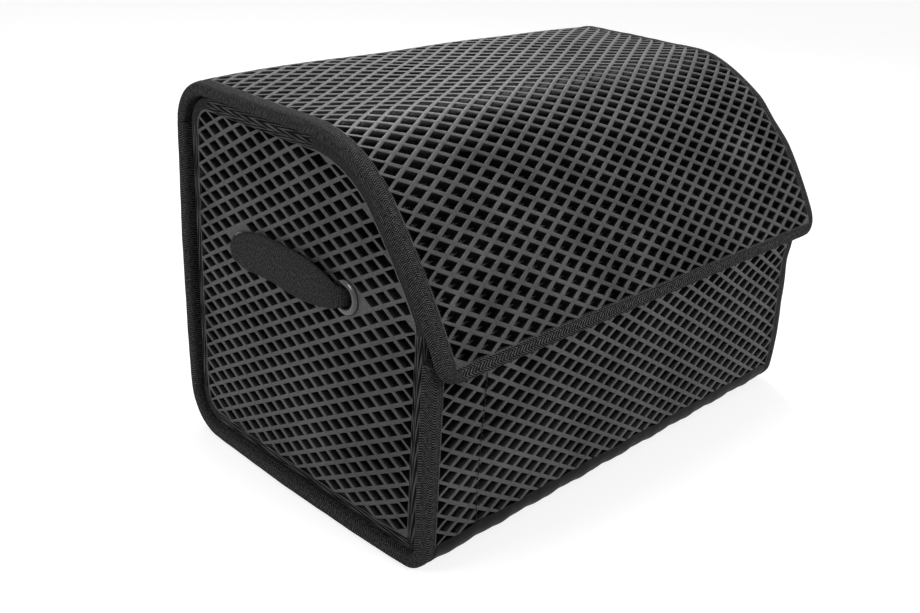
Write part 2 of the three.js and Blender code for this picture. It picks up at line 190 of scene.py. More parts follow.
# Materials
def newMaterial(name):
    material = bpy.data.materials.new(name)
    material.use_nodes = True
    nodes = material.node_tree.nodes
    return material, nodes, material.node_tree.links, nodes["Principled BSDF"]


def addNode(nodes, kind, settings=None, **inputs):
    node = nodes.new(kind)
    for key, value in (settings or {}).items():
        setattr(node, key, value)
    for key, value in inputs.items():
        node.inputs[key.replace("_", " ")].default_value = value
    return node


def addRamp(nodes, stops):
    node = nodes.new("ShaderNodeValToRGB")
    elements = node.color_ramp.elements
    for i, (position, shade) in enumerate(stops):
        element = elements[i] if i < 2 else elements.new(position)
        element.position = position
        element.color = (shade, shade, shade * 1.04, 1)
    return node


# The cell walls and floors are the ridges' foam with a far darker colour and a lower specular level: painted
# shade for the inside of the cells.
foamLooks = {
    "ridge foam": {"dark": 0.03, "light": 0.1, "rough": 0.45, "specular": 0.2, "grain": 0.12 * mm},
    "shade-painted cell wall foam": {"dark": 0.001, "light": 0.01, "rough": 0.3, "specular": 0.12, "grain": 0.1 * mm},
    "shade-painted cell floor foam": {"dark": 0.001, "light": 0.003, "rough": 0.4, "specular": 0.02, "grain": 0.2 * mm},
    "cell nub foam": {"dark": 0.01, "light": 0.03, "rough": 0.22, "specular": 0.6, "grain": 0.15 * mm},
}
foamGrain = {"fine": 900, "cloud": 22}


def foamMaterial(name):
    look = foamLooks[name]
    material, nodes, links, shader = newMaterial(name)
    place = addNode(nodes, "ShaderNodeTexCoord")
    grain = addNode(nodes, "ShaderNodeTexNoise", Scale=foamGrain["fine"], Detail=3.0, Roughness=0.6)
    cloud = addNode(nodes, "ShaderNodeTexNoise", Scale=foamGrain["cloud"], Detail=4.0)
    blend = addNode(nodes, "ShaderNodeMath", {"operation": "MULTIPLY"})
    ramp = addRamp(nodes, [(0.14, look["dark"]), (0.4, look["light"])])
    rough = addNode(nodes, "ShaderNodeMapRange", From_Min=0.3, From_Max=0.7, To_Min=look["rough"] - 0.06,
                    To_Max=look["rough"] + 0.08)
    bump = addNode(nodes, "ShaderNodeBump", Strength=0.6, Distance=look["grain"])
    for texture in (grain, cloud):
        links.new(place.outputs["Object"], texture.inputs["Vector"])
    links.new(grain.outputs["Fac"], blend.inputs[0])
    links.new(cloud.outputs["Fac"], blend.inputs[1])
    links.new(blend.outputs[0], ramp.inputs["Fac"])
    links.new(ramp.outputs["Color"], shader.inputs["Base Color"])
    links.new(cloud.outputs["Fac"], rough.inputs["Value"])
    links.new(rough.outputs["Result"], shader.inputs["Roughness"])
    links.new(grain.outputs["Fac"], bump.inputs["Height"])
    links.new(bump.outputs["Normal"], shader.inputs["Normal"])
    shader.inputs["Specular IOR Level"].default_value = look["specular"]
    return material


# Cloth patterns follow the piece's own map, in metres: slanting ribs that turn back at each column. On the twill
# tape and the strap webbing the ribs are far lighter than the gaps: the weave's pattern, with its glints painted
# in as highlight.
twillLook = {"pitch": 2.1 * mm, "column": 3.1 * mm, "dark": 0.002, "light": 0.1, "rough": 0.8,
             "depth": 0.5 * mm, "broken": 0.4}
strapLook = {"pitch": 1.5 * mm, "column": 2.1 * mm, "dark": 0.003, "light": 0.1, "rough": 0.8,
             "depth": 0.5 * mm, "broken": 0.4}
satinLook = {"pitch": 0.8 * mm, "column": 90 * mm, "dark": 0.003, "light": 0.01, "rough": 0.5,
             "depth": 0.06 * mm, "broken": 0.3}
threadLook = {"pitch": 0.5 * mm, "column": 90 * mm, "dark": 0.01, "light": 0.06, "rough": 0.6,
              "depth": 0.1 * mm, "broken": 0.3}


def clothMaterial(name, look):
    material, nodes, links, shader = newMaterial(name)
    place = addNode(nodes, "ShaderNodeUVMap", {"uv_map": "cloth"})
    parts = addNode(nodes, "ShaderNodeSeparateXYZ")
    turned = addNode(nodes, "ShaderNodeMath", {"operation": "PINGPONG"})
    turned.inputs[1].default_value = look["column"]
    slant = addNode(nodes, "ShaderNodeMath", {"operation": "ADD"})
    phase = addNode(nodes, "ShaderNodeMath", {"operation": "MULTIPLY"})
    phase.inputs[1].default_value = tau / look["pitch"]
    rib = addNode(nodes, "ShaderNodeMath", {"operation": "SINE"})
    fuzz = addNode(nodes, "ShaderNodeTexNoise", Scale=0.9 / look["pitch"], Detail=3.0, Roughness=0.7)
    fuzzRange = addNode(nodes, "ShaderNodeMapRange", From_Min=0.25, From_Max=0.75, To_Min=-1.4, To_Max=1.4)
    weave = addNode(nodes, "ShaderNodeMix", {"data_type": "FLOAT"})
    weave.inputs[0].default_value = look["broken"]
    # Dark gaps to light ribs; on the twill and the webbing the light ribs are partly the weave and partly painted
    # highlight.
    ramp = addRamp(nodes, [(0.45, look["dark"]), (0.86, look["light"])])
    level = addNode(nodes, "ShaderNodeMapRange", From_Min=-1.0, From_Max=1.0)
    bump = addNode(nodes, "ShaderNodeBump", Strength=0.9, Distance=look["depth"])
    links.new(place.outputs["UV"], parts.inputs["Vector"])
    links.new(place.outputs["UV"], fuzz.inputs["Vector"])
    links.new(parts.outputs["Y"], turned.inputs[0])
    links.new(parts.outputs["X"], slant.inputs[0])
    links.new(turned.outputs[0], slant.inputs[1])
    links.new(slant.outputs[0], phase.inputs[0])
    links.new(phase.outputs[0], rib.inputs[0])
    links.new(fuzz.outputs["Fac"], fuzzRange.inputs["Value"])
    links.new(rib.outputs[0], weave.inputs[2])
    links.new(fuzzRange.outputs["Result"], weave.inputs[3])
    links.new(weave.outputs[0], level.inputs["Value"])
    links.new(level.outputs["Result"], ramp.inputs["Fac"])
    links.new(ramp.outputs["Color"], shader.inputs["Base Color"])
    links.new(level.outputs["Result"], bump.inputs["Height"])
    links.new(bump.outputs["Normal"], shader.inputs["Normal"])
    shader.inputs["Roughness"].default_value = look["rough"]
    shader.inputs["Specular IOR Level"].default_value = 0.06
    return material


def enamelMaterial(name, shade, roughness):
    material, nodes, links, shader = newMaterial(name)
    place = addNode(nodes, "ShaderNodeTexCoord")
    noise = addNode(nodes, "ShaderNodeTexNoise", Scale=260.0, Detail=3.0)
    ramp = addRamp(nodes, [(0.35, shade * 0.8), (0.65, shade * 1.3)])
    rough = addNode(nodes, "ShaderNodeMapRange", From_Min=0.3, From_Max=0.7, To_Min=roughness,
                    To_Max=roughness + 0.12)
    bump = addNode(nodes, "ShaderNodeBump", Strength=0.25, Distance=0.03 * mm)
    links.new(place.outputs["Object"], noise.inputs["Vector"])
    links.new(noise.outputs["Fac"], ramp.inputs["Fac"])
    links.new(noise.outputs["Fac"], rough.inputs["Value"])
    links.new(ramp.outputs["Color"], shader.inputs["Base Color"])
    links.new(rough.outputs["Result"], shader.inputs["Roughness"])
    links.new(noise.outputs["Fac"], bump.inputs["Height"])
    links.new(bump.outputs["Normal"], shader.inputs["Normal"])
    shader.inputs["Coat Weight"].default_value = 0.5
    shader.inputs["Coat Roughness"].default_value = 0.08
    return material


foams = [foamMaterial(name) for name in foamLooks]
twill = clothMaterial("twill tape with painted glints", twillLook)
webbing = clothMaterial("strap webbing with painted glints", strapLook)
satin = clothMaterial("satin tape", satinLook)
thread = clothMaterial("thread", threadLook)
enamel = enamelMaterial("black enamel", 0.012, 0.2)
plating = enamelMaterial("black plating", 0.02, 0.3)
print("materials made")


def finishPiece(name, bm, body, materials, replaced=(), angle=50):
    for v in bm.verts:
        v.co = settle(v.co)
    mesh = bpy.data.meshes.new(name)
    bm.to_mesh(mesh)
    bm.free()
    for material in materials:
        mesh.materials.append(material)
    mesh.shade_smooth()
    mesh.set_sharp_from_angle(angle=radians(angle))
    piece = bpy.data.objects.new(name, mesh)
    bpy.context.scene.collection.objects.link(piece)
    if body:
        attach(piece, body)
    if replaced:
        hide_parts(*replaced)
    return piece


# A plate of foam with diamond cells pressed into its upper face, flat and centred on the origin
cell = {"long": 23.5 * mm, "short": 13.9 * mm, "ridge": 2.6 * mm, "round": 0.55, "nub": 0.7 * mm,
        "shoulder": (0.45 * mm, 0.35 * mm),     # inwards and down
        "walls": [(0.9 * mm, 3.6 * mm), (1.1 * mm, 2.4 * mm)], "floor": 0.9 * mm}


def cutAway(bm, point, outward):
    bmesh.ops.bisect_plane(bm, geom=bm.verts[:] + bm.edges[:] + bm.faces[:], dist=1e-6,
                           plane_co=point, plane_no=outward, clear_outer=True)


def cellPlate(size, outline=None, holes=(), nubs=True):
    long = size[0] / round(size[0] / cell["long"])
    short = size[1] / round(size[1] / cell["short"])
    count = 2 * ceil((size[0] / long + size[1] / short) / 2) + 4
    bm = bmesh.new()
    bmesh.ops.create_grid(bm, x_segments=count, y_segments=count, size=count / 2)
    slant = Matrix(((long / 2, long / 2, 0, 0), (-short / 2, short / 2, 0, 0), (0, 0, 1, 0), (0, 0, 0, 1)))
    bmesh.ops.transform(bm, matrix=slant, verts=bm.verts)
    outside = [f for f in bm.faces
               if abs(f.calc_center_median().x) > (size[0] + long) / 2
               or abs(f.calc_center_median().y) > (size[1] + short) / 2]
    bmesh.ops.delete(bm, geom=outside, context="FACES")
    edges = outline or [((size[0] / 2, 0), (1, 0)), ((-size[0] / 2, 0), (-1, 0)),
                        ((0, size[1] / 2), (0, 1)), ((0, -size[1] / 2), (0, -1))]
    for point, outward in edges:
        cutAway(bm, (*point, 0), (*outward, 0))
    bmesh.ops.remove_doubles(bm, verts=[v for v in bm.verts if v.is_boundary], dist=0.8 * mm)
    bottom = bmesh.ops.extrude_face_region(bm, geom=bm.faces[:], use_keep_orig=True)["geom"]
    lowered = [v for v in bottom if isinstance(v, bmesh.types.BMVert)]
    bmesh.ops.translate(bm, verts=lowered, vec=(0, 0, -box["sheet"]))
    bmesh.ops.recalc_face_normals(bm, faces=bm.faces)
    if holes:
        bm = punchHoles(bm, holes)
    bm.normal_update()
    full = long * short / 2
    upper = [f for f in bm.faces if f.normal.z > 0.9 and all(clearOf(f, hole) for hole in holes)]
    whole = [f for f in upper if len(f.verts) == 4 and f.calc_area() > 0.999 * full]
    large = [f for f in upper if f not in whole and f.calc_area() > 0.75 * full]
    small = [f for f in upper if 0.35 * full < f.calc_area() <= 0.75 * full]
    pressCells(bm, whole, True, 1, nubs)
    pressCells(bm, large, False, 0.75, nubs)
    pressCells(bm, small, False, 0.45, nubs)
    return bm


# Round holes through a flat plate, each under an eyelet
holeRadius = 8.4 * mm


def clearOf(face, hole):
    return all((v.co.xy - hole).length > holeRadius + 0.5 * mm for v in face.verts)


def punchHoles(bm, holes):
    pair = []
    punch = bmesh.new()
    for hole in holes:
        bmesh.ops.create_cone(punch, cap_ends=True, segments=32, radius1=holeRadius, radius2=holeRadius,
                              depth=4 * box["sheet"], matrix=Matrix.Translation((*hole, 0)))
    for source in (bm, punch):
        mesh = bpy.data.meshes.new("plate")
        source.to_mesh(mesh)
        source.free()
        pair.append(bpy.data.objects.new("plate", mesh))
        bpy.context.scene.collection.objects.link(pair[-1])
    cut = pair[0].modifiers.new("holes", "BOOLEAN")
    cut.operation = "DIFFERENCE"
    cut.solver = "EXACT"
    cut.object = pair[1]
    shaped = bpy.data.meshes.new_from_object(pair[0].evaluated_get(bpy.context.evaluated_depsgraph_get()))
    made = bmesh.new()
    made.from_mesh(shaped)
    for piece in pair:
        mesh = piece.data
        bpy.data.objects.remove(piece)
        bpy.data.meshes.remove(mesh)
    bpy.data.meshes.remove(shaped)
    return made


def pressCells(bm, cells, even, share, nubs):
    if not cells:
        return
    bmesh.ops.inset_individual(bm, faces=cells, thickness=cell["ridge"] / 2, use_even_offset=even)
    roundCorners(bm, cells)
    # The walls take material slot 1 and the floors slot 2, the foams painted darker as shade; the nubs take slot
    # 3.
    for inward, down in [cell["shoulder"], *cell["walls"]]:
        ring = bmesh.ops.inset_individual(bm, faces=cells, thickness=inward * share, depth=-down,
                                          use_even_offset=even)
        if (inward, down) != cell["shoulder"]:
            for face in ring["faces"]:
                face.material_index = 1
    for face in cells:
        face.material_index = 2
    if nubs:
        bmesh.ops.inset_individual(bm, faces=cells, thickness=cell["floor"] * share, use_even_offset=False)
        for face in cells:
            face.material_index = 3
        bmesh.ops.poke(bm, faces=cells, offset=cell["nub"])


def roundCorners(bm, cells):
    corners = {v for f in cells for v in f.verts}
    edges = {e for f in cells for e in f.edges}
    bmesh.ops.subdivide_edges(bm, edges=list(edges), cuts=2)
    moved = {}
    for face in cells:
        loop = face.verts[:]
        for i, v in enumerate(loop):
            if v in corners:
                middle = (loop[i - 1].co + loop[(i + 1) % len(loop)].co) / 2
                moved[v] = v.co.lerp(middle, cell["round"])
    for v, co in moved.items():
        v.co = co


def bend(bm, lay):
    for v in bm.verts:
        v.co = lay(*v.co)


# Lid, base and front wall
under = 1.6 * mm               # how far a sheet's cells run on under the tape


def makeLidSheet():
    start = box["leg"] - under
    length = hingeAt - 2 * start
    width = 2 * (box["side"] - start)
    bm = cellPlate((width, length))
    bend(bm, lambda x, u, h: onLid(x, u + hingeAt / 2, h))
    finishPiece("lid_foam", bm, "lid", foams, ["lid_sheet"])


def makeBaseWrap():
    start = hingeAt + box["leg"] - under
    end = frontFoldAt - 8 * mm
    width = 2 * (box["side"] - box["sideLeg"] + under)
    bm = cellPlate((width, end - start), nubs=False)
    bend(bm, lambda x, u, h: onRoute(x, u + (start + end) / 2, h))
    finishPiece("base_foam", bm, "box", foams, ["base_wrap"])


# A line of stitches up the front wall draws the foam in
stitchLine = {"x": -0.193, "draw": 1.8 * mm, "reach": 5 * mm, "pitch": 4.2 * mm, "length": 2.9 * mm,
              "radius": 0.45 * mm, "sides": 5, "steps": 4}


def onFront(x, along, height):
    off = x - stitchLine["x"] - 1.2 * mm * sin(40 * along)
    draw = stitchLine["draw"] * exp(-(off / stitchLine["reach"]) ** 2) * (0.75 + 0.25 * sin(150 * along))
    return onRoute(x, along, height - draw)


def makeFrontPanel():
    start = jointAt + 2 * mm
    end = rimAt - box["leg"] + under
    width = 2 * (box["side"] - box["sideLeg"] + under)
    bm = cellPlate((width, end - start))
    bend(bm, lambda x, u, h: onFront(x, u + (start + end) / 2, h))
    finishPiece("front_foam", bm, "box", foams, ["front_panel"])


# Outline of an end wall at a distance inside the outer face of the folded sheets, as points in Y and Z.
# Each inset gives as many points, so that tapes can be drawn between two of them.
endShape = {"cornerSteps": 8, "cornerLeast": 2 * mm, "slopeSteps": 34, "tip": 6 * mm, "tipSteps": 5}


def lidCrossing(y, depth):
    low, high = 0, lidTopAt
    for i in range(40):
        middle = (low + high) / 2
        if onRoute(0, middle, -depth).y < y:
            low = middle
        else:
            high = middle
    return low


def arcPoints(centre, radius, start, end, steps):
    return [Vector((centre[0] + radius * cos(start + (end - start) * i / steps),
                    centre[1] + radius * sin(start + (end - start) * i / steps))) for i in range(steps + 1)]


def endOutline(inset):
    front, back = box["front"] + inset, box["back"] - inset
    floor, top = inset, box["top"] - inset
    steps = endShape["cornerSteps"]
    frontR, backR, topR = (max(box[fold] - inset, endShape["cornerLeast"])
                           for fold in ("frontFold", "backFold", "lidRearFold"))
    points = arcPoints((front + frontR, floor + frontR), frontR, pi, 1.5 * pi, steps)
    points += arcPoints((back - backR, floor + backR), backR, 1.5 * pi, 2 * pi, steps)
    points += arcPoints((back - topR, top - topR), topR, 0, pi / 2, steps)
    crossing = lidCrossing(front, inset)
    tip = onRoute(0, crossing, -inset).yz
    slope = endShape["slopeSteps"]
    for i in range(slope + 1):
        points.append(onRoute(0, lidTopAt + (crossing + endShape["tip"] - lidTopAt) * i / slope, -inset).yz)
    before = points[-1]
    after = Vector((front, tip.y - endShape["tip"]))
    for i in range(1, endShape["tipSteps"]):
        t = i / endShape["tipSteps"]
        points.append((1 - t) ** 2 * before + 2 * t * (1 - t) * tip + t * t * after)
    points.append(after)
    return points


endInset = box["edge"] + box["gap"]


def makeEnd(side):
    name = "right" if side > 0 else "left"
    faceX = side * (box["side"] - box["endSetback"])
    field = endOutline(endInset + box["leg"] - under)
    lowY, highY = min(p.x for p in field), max(p.x for p in field)
    lowZ, highZ = min(p.y for p in field), max(p.y for p in field)
    middle = Vector(((lowY + highY) / 2, (lowZ + highZ) / 2))
    planes = []
    for a, b in zip(field, field[1:] + field[:1]):
        if (b - a).length > 0.2 * mm:
            outward = Vector((b.y - a.y, a.x - b.x)).normalized()
            planes.append((tuple(a - middle), tuple(outward)))
    eyelets = [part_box(f"{name}_{end}_eyelet") for end in ("front", "rear")]
    holes = [((Vector(low) + Vector(high)) / 2).yz - middle for low, high in eyelets]
    bm = cellPlate((highY - lowY, highZ - lowZ), planes, holes)
    bend(bm, lambda y, z, h: Vector((faceX + side * h, y + middle.x, z + middle.y)))
    if side < 0:
        bmesh.ops.reverse_faces(bm, faces=bm.faces)
    finishPiece(f"{name}_end_foam", bm, "box", foams, [f"{name}_end_panel"])


makeLidSheet()
makeBaseWrap()
makeFrontPanel()
makeEnd(-1)
makeEnd(1)
print("foam sheets made")


# A closed band: a grid laid along a piece and round its section, with its seams merged
def band(along, around, place, lengths, closedAlong):
    bm = bmesh.new()
    layer = bm.loops.layers.uv.new("cloth")
    bmesh.ops.create_grid(bm, x_segments=along, y_segments=around, size=0.5, calc_uvs=True)
    for face in bm.faces:
        for loop in face.loops:
            loop[layer].uv = ((loop.vert.co.x + 0.5) * lengths[0], (loop.vert.co.y + 0.5) * lengths[1])
    for v in bm.verts:
        i, j = round((v.co.x + 0.5) * along), round((v.co.y + 0.5) * around)
        v.co = place(i % along if closedAlong else i, j % around)
    bmesh.ops.remove_doubles(bm, verts=bm.verts, dist=1e-6)
    if not closedAlong:
        bmesh.ops.holes_fill(bm, edges=[e for e in bm.edges if e.is_boundary])
    bmesh.ops.recalc_face_normals(bm, faces=bm.faces)
    return bm


# Section of a folded tape: distance in from the edge, and height over the sheet's outer face
tapeShape = {"round": 3.4 * mm, "puff": 0.35 * mm, "valley": 0.55 * mm, "valleyAt": 2.6 * mm,
             "lip": 0.9 * mm, "bends": (15, 35, 55, 75)}


def tapeSection(leg, thickness):
    radius = tapeShape["round"]
    valleyAt = tapeShape["valleyAt"]
    upper = [(leg, -tapeShape["lip"]), (leg - 0.3 * mm, -0.1 * mm), (leg - 1.3 * mm, 0),
             (leg - valleyAt, -tapeShape["valley"]), (leg - 2 * valleyAt + 1.2 * mm, 0.05 * mm),
             ((leg + radius) / 2 - 1 * mm, tapeShape["puff"]), (radius + 0.6 * mm, 0.12 * mm)]
    bends = [radians(bend) for bend in tapeShape["bends"]]
    upper += [(radius - radius * sin(a), radius * cos(a) - radius) for a in bends]
    lower = [(d, -thickness - h) for d, h in reversed(upper)]
    return upper + [(0, -thickness / 2)] + lower


def wobble(s, seed):
    return 0.35 * mm * (sin(61 * s + seed) + 0.6 * sin(143 * s + 2.1 * seed) + 0.4 * sin(287 * s + seed))


# Rounded rectangle in X and length along the route, as many points at every inset
def lidPath(inset):
    side = box["side"] - inset
    low, high = inset, hingeAt - inset
    frontR, rearR = max(14 * mm - inset, 1 * mm), 1 * mm
    corners = [(-side + frontR, low + frontR, frontR, pi), (side - frontR, low + frontR, frontR, 1.5 * pi),
               (side - rearR, high - rearR, rearR, 0), (-side + rearR, high - rearR, rearR, pi / 2)]
    points = []
    for i, (x, u, radius, start) in enumerate(corners):
        arc = arcPoints((x, u), radius, start, start + pi / 2, 6)
        nextX, nextU, nextR, nextStart = corners[(i + 1) % 4]
        goal = Vector((nextX + nextR * cos(nextStart), nextU + nextR * sin(nextStart)))
        steps = 100 if i % 2 else 60
        points += arc + [arc[-1].lerp(goal, k / steps) for k in range(1, steps)]
    return points


def pathLength(points):
    return sum((b - a).length for a, b in zip(points, points[1:] + points[:1]))


def makeLidBinding():
    section = tapeSection(box["leg"], box["edge"])
    rings = [lidPath(inward) for inward, height in section]
    count = len(rings[0])
    length = pathLength(rings[0])

    def place(i, j):
        x, u = rings[j][i]
        s = i / count * length
        puff = wobble(s, 1.0) * (1 if 2 * mm < section[j][0] < 8 * mm else 0.3)
        return onLid(x, u, section[j][1] + puff * 0.5)

    bm = band(count, len(section), place, (length, 2 * box["leg"] + box["edge"]), True)
    finishPiece("lid_tape", bm, "lid", [twill], ["lid_binding"])


def makeEndBinding(side):
    name = "right" if side > 0 else "left"
    faceX = side * (box["side"] - box["endSetback"])
    section = tapeSection(box["leg"], box["edge"])
    rings = [endOutline(endInset + inward) for inward, height in section]
    count = len(rings[0])
    length = pathLength(rings[0])

    def place(i, j):
        y, z = rings[j][i]
        return Vector((faceX + side * section[j][1], y, z))

    bm = band(count, len(section), place, (length, 2 * box["leg"] + box["edge"]), True)
    finishPiece(f"{name}_end_tape", bm, "box", [twill], [f"{name}_end_binding"])


def makeBodyBinding(side):
    name = "right" if side > 0 else "left"
    section = tapeSection(box["sideLeg"], box["edge"])
    start, end = hingeAt + 0.2 * mm, rimAt
    count = 190

    def place(i, j):
        along = start + (end - start) * i / count
        inward, height = section[j]
        puff = wobble(along, side + 2) * (0.5 if inward < 8 * mm else 0.15)
        return onRoute(side * (box["side"] - inward + puff * 0.4), along, height + puff * 0.5)

    bm = band(count, len(section), place, (end - start, 2 * box["sideLeg"] + box["edge"]), False)
    finishPiece(f"{name}_body_tape", bm, "box", [twill], [f"{name}_body_binding"])


def makeRimBinding(name, edge, inward):
    section = tapeSection(box["leg"], box["edge"])
    half = box["side"] - box["sideLeg"] - box["gap"]
    count = 80

    def place(i, j):
        x = -half + 2 * half * i / count
        reach, height = section[j]
        return onRoute(x, edge + inward * reach, height)

    bm = band(count, len(section), place, (2 * half, 2 * box["leg"] + box["edge"]), False)
    finishPiece(f"{name}_tape", bm, "box", [twill], [f"{name}_binding"])


makeLidBinding()
for side in (-1, 1):
    makeEndBinding(side)
    makeBodyBinding(side)
makeRimBinding("front_rim", rimAt, -1)
makeRimBinding("back_rim", hingeAt + 0.2 * mm, 1)
print("edge tapes made")


# Smooth tape over the joint of the front wall and the bottom, a little puckered by its stitches
seam = {"from": frontFoldAt - 10 * mm, "to": jointAt + 4 * mm, "thick": 1.2 * mm, "pucker": 0.5 * mm,
        "out": 0.5 * mm}


def makeSeamTape():
    half = box["side"] - box["sideLeg"] + 0.5 * mm
    across = 16
    section = [(k / across, 1) for k in range(across + 1)] + [(1 - k / 4, 0) for k in range(5)]
    count = 140

    def place(i, j):
        x = -half + 2 * half * i / count
        share, upper = section[j]
        edge = 0.8 * mm * (sin(95 * x) + 0.5 * sin(231 * x + 1)) * (share > 0.9)
        u = seam["from"] + (seam["to"] - seam["from"]) * share + edge
        swell = seam["pucker"] * sin(pi * share) * (sin(120 * x + 3 * share) + 0.5 * sin(310 * x))
        rounding = -0.6 * mm * (share < 0.02 or share > 0.98)
        height = seam["out"] + swell + rounding if upper else seam["out"] - seam["thick"]
        return onRoute(x, u, height)

    bm = band(count, len(section), place, (2 * half, 2 * (seam["to"] - seam["from"])), False)
    finishPiece("front_seam_satin", bm, "box", [satin], ["front_seam_tape"])


def makeHingeTape():
    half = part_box("hinge_tape")[1][0]
    section = [(k / 8, 1) for k in range(9)] + [(1 - k / 8, 0) for k in range(9)]
    inside = -box["edge"] - 0.4 * mm

    def place(i, j):
        x = -half + 2 * half * i / 60
        share, upper = section[j]
        u = hingeAt - 20 * mm + 40 * mm * share
        return onRoute(x, u, inside - (0 if upper else 1.1 * mm))

    bm = band(60, len(section), place, (2 * half, 80 * mm), False)
    piece = finishPiece("hinge_cloth", bm, None, [twill], ["hinge_tape"])
    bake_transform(piece)


def makeDividerStrip():
    low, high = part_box("divider_loop_strip")
    section = [(0, 0), (0.03, 1), (0.25, 1), (0.5, 1.05), (0.75, 1), (0.97, 1), (1, 0)]

    def place(i, j):
        z = low[2] + (high[2] - low[2]) * i / 40
        share, rise = section[j]
        return Vector((low[0] + (high[0] - low[0]) * share, low[1] + (high[1] - low[1]) * rise, z))

    bm = band(40, len(section), place, (high[2] - low[2], 24 * mm), False)
    finishPiece("divider_loops", bm, "box", [webbing], ["divider_loop_strip"])


# Stitches: short threads that dip into the foam at both ends
def makeStitches():
    line = stitchLine
    start, end = jointAt + 6 * mm, rimAt - box["leg"]
    sides, steps = line["sides"], line["steps"]
    whole = bmesh.new()
    layer = whole.loops.layers.uv.new("cloth")
    for k in range(int((end - start) / line["pitch"])):
        foot = start + k * line["pitch"]
        lean = 0.5 * mm * (-1) ** k

        def place(i, j):
            share = i / steps
            angle = tau * j / sides
            x = line["x"] + lean * (share - 0.5) + line["radius"] * cos(angle)
            arch = 0.7 * mm * sin(pi * share) - 0.9 * mm
            along = foot + line["length"] * share
            return onRoute(x + 1.2 * mm * sin(40 * along), along, arch + line["radius"] * sin(angle))

        one = band(steps, sides, place, (line["length"], 3 * mm), False)
        mesh = bpy.data.meshes.new("stitch")
        one.to_mesh(mesh)
        one.free()
        whole.from_mesh(mesh)
        bpy.data.meshes.remove(mesh)
    finishPiece("front_stitches", whole, "box", [thread])


makeStitches()
makeSeamTape()
makeHingeTape()
makeDividerStrip()
print("seam, hinge and divider tapes made")


# Eyelets and their washers: radius and height over the end wall's outer face
eyeletProfile = [(7.0, -13.2), (11.0, -13.4), (11.0, -12.7), (8.3, -12.3), (8.3, 0.2), (13.7, 0.2), (14.0, 0.7),
                 (13.8, 1.4), (13.1, 2.1), (11.8, 2.7), (10.2, 2.8), (8.8, 2.3), (7.8, 1.2), (7.1, -0.4)]
washerProfile = [(8.8, -11.4), (12.6, -11.4), (13.0, -11.1), (13.0, -10.5), (12.8, -10.3), (8.8, -10.3)]


def makeRing(name, profile, node, material):
    low, high = (Vector(corner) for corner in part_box(node))
    side = 1 if low.x > 0 else -1
    faceX = side * (box["side"] - box["endSetback"])
    middle = (low + high) / 2
    bm = bmesh.new()
    verts = [bm.verts.new((side * h * mm, r * mm, 0)) for r, h in profile]
    edges = [bm.edges.new((a, b)) for a, b in zip(verts, verts[1:] + verts[:1])]
    bmesh.ops.spin(bm, geom=verts + edges, cent=(0, 0, 0), axis=(1, 0, 0), angle=tau, steps=48,
                   use_merge=True)
    bmesh.ops.remove_doubles(bm, verts=bm.verts, dist=1e-6)
    bmesh.ops.recalc_face_normals(bm, faces=bm.faces)
    bmesh.ops.translate(bm, verts=bm.verts, vec=(faceX, middle.y, middle.z))
    finishPiece(name, bm, "box", [material], [node], angle=40)


# A strap: bunched in both eyelets, a soft flat band between them, a knot behind each. Its rows, in
# millimetres from the front knot to the rear one: along the wall, off it, sideways, width, thickness.
strap = {"curl": 3.2 * mm, "count": 150, "around": 28,
         "root": (45, 4), "rootDirection": (29.7, -32.8), "rootDrop": 1.6 * mm}
strapRows = [(-64, -27.4, 0, 9, 9), (-64, -26, 0, 17, 17), (-64, -20.5, 0, 21, 21), (-64, -15.8, 0, 18, 18),
             (-64, -13.6, 0, 12.2, 10), (-64, -6, 0, 12.2, 9), (-63.7, 0.6, 0, 12.4, 8.4), (-61.6, 4.2, 0, 15, 7),
             (-56, 6.9, 0, 20, 5), (-48, 8.2, 0.6, 26, 3.8), (-34, 8.7, 1, 32.5, 3.2), (-18, 8.9, 1.4, 37, 3),
             (0, 8.9, 2.4, 38, 3), (18, 8.9, 3.8, 36, 3), (34, 9, 3.4, 35, 3.2), (48, 9.2, 2, 34, 4),
             (58, 9.4, 1, 30, 5), (65.5, 8.8, 0, 25, 6.4), (69.4, 6, 0, 18, 7.8), (67.6, 3, 0, 13, 8.6),
             (64.6, 0, 0, 12.4, 9), (64, -6, 0, 12.2, 9), (64, -13.6, 0, 12.2, 10), (64, -15.8, 0, 18, 18),
             (64, -20.5, 0, 21, 21), (64, -26, 0, 17, 17), (64, -27.4, 0, 9, 9)]


# Rows drawn smoothly through the given ones, evenly far apart along their first two columns
def smoothRows(rows, count):
    fine = []
    for i in range(len(rows) - 1):
        before, start, end, after = (rows[min(max(k, 0), len(rows) - 1)] for k in (i - 1, i, i + 1, i + 2))
        for k in range(12):
            t = k / 12
            fine.append([b + t / 2 * (c - a) + t * t * (a - 2.5 * b + 2 * c - d / 2)
                         + t ** 3 * (1.5 * (b - c) + (d - a) / 2)
                         for a, b, c, d in zip(before, start, end, after)])
    fine.append(list(rows[-1]))
    lengths = [0]
    for a, b in zip(fine, fine[1:]):
        lengths.append(lengths[-1] + hypot(b[0] - a[0], b[1] - a[1]))
    even, k = [], 0
    for i in range(count + 1):
        goal = lengths[-1] * i / count
        while k < len(fine) - 2 and lengths[k + 1] < goal:
            k += 1
        t = (goal - lengths[k]) / (lengths[k + 1] - lengths[k])
        even.append([(a + (b - a) * t) * mm for a, b in zip(fine[k], fine[k + 1])])
    return even, lengths[-1] * mm


